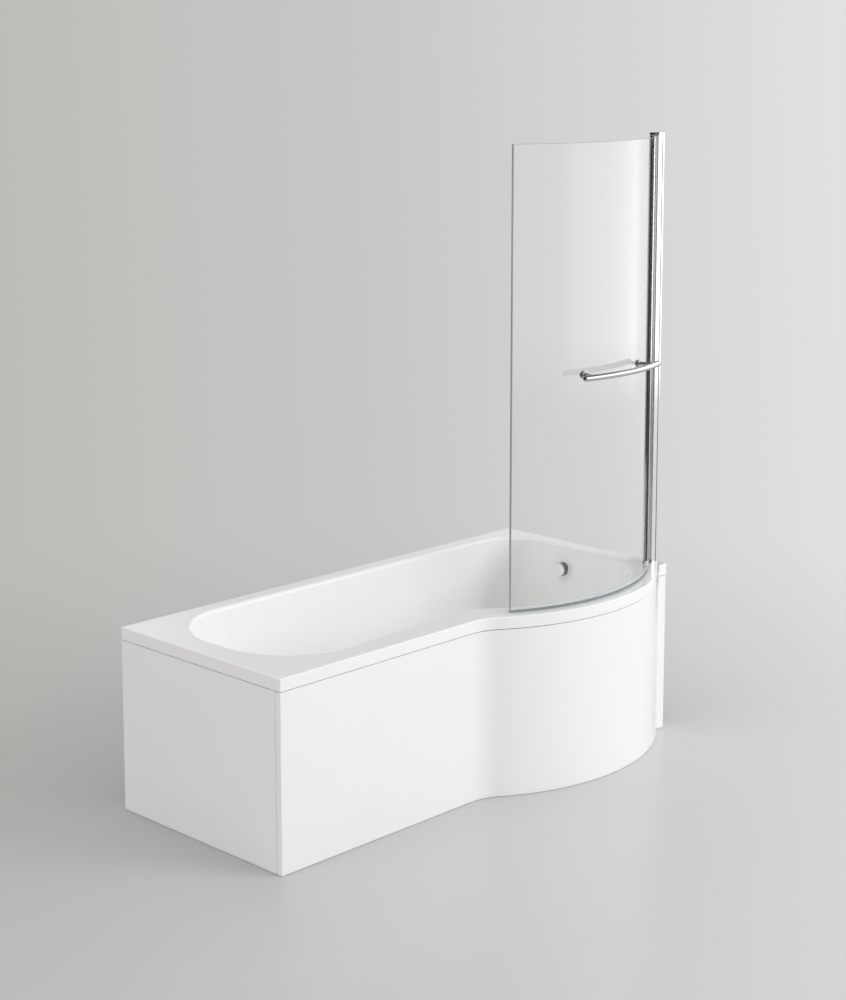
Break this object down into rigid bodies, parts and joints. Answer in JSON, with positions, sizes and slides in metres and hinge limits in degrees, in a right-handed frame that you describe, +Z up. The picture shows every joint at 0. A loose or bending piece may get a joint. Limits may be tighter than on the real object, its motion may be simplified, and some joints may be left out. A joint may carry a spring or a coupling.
{
  "type": "p shaped shower bath",
  "caption": "P shaped shower bath with curved panel, flat rim, pop-up waste and a curved glass screen with towel rail that swings on a wall frame.",
  "frame": {"origin": "on the floor below the middle of the whole object, screen and towel rail included", "axes": "+X along the bath towards the shower end and its wall, +Y towards the back wall, +Z up"},
  "size_m": [1.7, 0.8774, 1.97],
  "materials": {
    "white_acrylic": "high gloss white acrylic",
    "white_panel": "gloss white acrylic panel",
    "chipboard": "resin coated chipboard",
    "pine": "planed softwood",
    "zinc_steel": "zinc plated steel",
    "dark_plastic": "black moulded plastic",
    "black_rubber": "black rubber",
    "white_pipe": "white waste pipe",
    "chrome": "polished chrome",
    "brass": "turned brass",
    "nylon": "natural nylon",
    "grey_seal": "grey soft seal",
    "clear_seal": "clear soft vinyl",
    "clear_glass": "clear toughened glass"
  },
  "bodies": {
    "bath": {"bath_shell": "white_acrylic", "front_panel": "white_panel", "end_panel": "white_panel", "base_board": "chipboard", "rim_battens": "chipboard", "panel_battens": "pine", "leg_channel_plain": "zinc_steel", "leg_channel_middle": "zinc_steel", "leg_channel_shower": "zinc_steel", "leg_screws": "zinc_steel", "foot_rods": "zinc_steel", "foot_nuts": "zinc_steel", "foot_pads": "dark_plastic", "wall_clips": "zinc_steel", "panel_clips": "zinc_steel", "clip_screws": "zinc_steel", "overflow_body": "dark_plastic", "overflow_gasket": "black_rubber", "overflow_rosette": "chrome", "overflow_pipe": "white_pipe", "pipe_elbow": "dark_plastic", "link_pipe": "white_pipe", "lift_cable": "black_rubber", "waste_body": "dark_plastic", "waste_gasket": "black_rubber", "waste_flange": "chrome", "trap_nut": "dark_plastic", "trap_cup": "white_pipe", "trap_outlet": "white_pipe", "wall_channel": "chrome", "adjust_profile": "chrome", "adjust_screws": "zinc_steel", "channel_cap": "chrome", "hinge_foot": "dark_plastic", "hinge_head": "dark_plastic", "post_seal": "grey_seal"},
    "control": {"control_knob": "chrome", "knob_spindle": "brass", "knob_screw": "zinc_steel"},
    "plug": {"popup_plug": "chrome", "plug_stem": "brass", "plug_ring": "black_rubber"},
    "screen": {"pivot_post": "chrome", "post_bushes": "nylon", "glass_pane": "clear_glass", "glass_gasket": "grey_seal", "bottom_seal": "clear_seal", "rail_bar": "chrome", "rail_rosettes": "chrome", "rail_washers": "clear_seal", "rail_bolts": "chrome"}
  },
  "joints": [
    {"name": "screen_swing", "type": "hinge", "parent": "bath", "child": "screen", "pos_m": [0.806, -0.20806, 1.265], "axis": [0, 0, 1], "range_deg": [-60, 45]},
    {"name": "knob_turn", "type": "hinge", "parent": "bath", "child": "control", "pos_m": [0.77244, 0.11675, 0.485], "axis": [-0.9929, 0, 0.1191], "range_deg": [0, 90]},
    {"name": "plug_lift", "type": "slide", "parent": "bath", "child": "plug", "axis": [0, 0, 1], "range_m": [0, 0.01]}
  ],
  "couplings": [
    {"joint": "plug_lift", "follows": "knob_turn", "m_per_rad": 0.00636}
  ]
}
